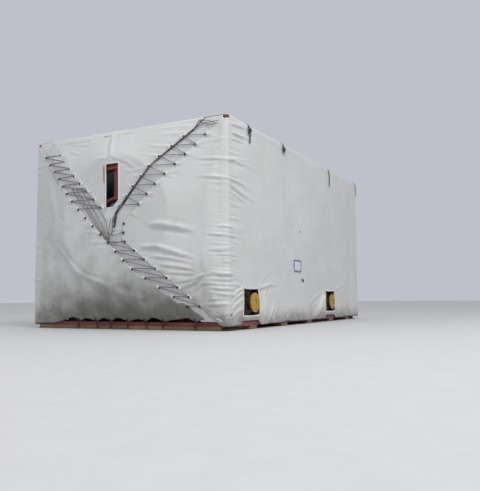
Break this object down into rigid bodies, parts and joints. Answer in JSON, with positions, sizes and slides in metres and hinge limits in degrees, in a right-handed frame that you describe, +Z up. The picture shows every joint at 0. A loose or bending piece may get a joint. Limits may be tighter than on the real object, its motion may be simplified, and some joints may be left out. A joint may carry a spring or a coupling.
{
  "type": "covered gas turbine transport unit",
  "caption": "Heavy gas turbine on transport saddles and skid under a white laced tarpaulin, with windows at its yellow trunnions and a slot in the end.",
  "frame": {"origin": "on the floor, under the middle of the rectangular cover", "axes": "+Z up; +X along the shaft, from the laced intake end to the plain exhaust end; +Y to the left seen from the laced end"},
  "size_m": [11.7514, 6.62, 5.5083],
  "materials": {
    "cover_cloth": "white coated tarpaulin, satin, creased and dusty near the hem",
    "lacing_rope": "dark laid polypropylene rope, weathered",
    "webbing": "dark woven webbing",
    "timber": "rough sawn hardwood, weathered",
    "red_primer": "matt red oxide primer",
    "saddle_steel": "dark brown primer with rust",
    "trunnion_paint": "yellow paint, chipped and rubbed",
    "machine_paint": "blue-grey machine enamel, semi-gloss",
    "casing_steel": "cast and machined casing, oiled",
    "pouch_plastic": "blue welded plastic rim with a pale blank window"
  },
  "bodies": {
    "root": {"bearing_timbers": "timber", "end_sill_near": "timber", "end_sill_far": "timber", "skid_girder_left": "red_primer", "skid_girder_right": "red_primer", "skid_cross_beams": "red_primer", "intake_ring": "red_primer", "frame_posts_left": "red_primer", "frame_posts_right": "red_primer", "frame_rails": "red_primer", "roof_bars": "red_primer", "saddle_beam_front": "saddle_steel", "saddle_beam_rear": "saddle_steel", "saddle_cradle_front": "saddle_steel", "saddle_cradle_rear": "saddle_steel", "trunnion_front_left": "trunnion_paint", "trunnion_front_right": "trunnion_paint", "trunnion_rear_left": "trunnion_paint", "trunnion_rear_right": "trunnion_paint", "bearing_housing": "machine_paint", "intake_casing": "machine_paint", "compressor_casing": "machine_paint", "combustor_casing": "casing_steel", "burners_set": "casing_steel", "turbine_casing": "casing_steel", "exhaust_casing": "casing_steel", "rotor_coupling": "casing_steel", "cover_roof": "cover_cloth", "cover_side_left": "cover_cloth", "cover_side_right": "cover_cloth", "end_flap_top": "cover_cloth", "end_flap_left": "cover_cloth", "end_flap_right": "cover_cloth", "end_backing": "cover_cloth", "cover_far_end": "cover_cloth", "lacing_upper_left": "lacing_rope", "lacing_upper_right": "lacing_rope", "lacing_lower_right": "lacing_rope", "hem_lashings": "lacing_rope", "roof_ties": "webbing", "document_pouch": "pouch_plastic"}
  },
  "joints": []
}
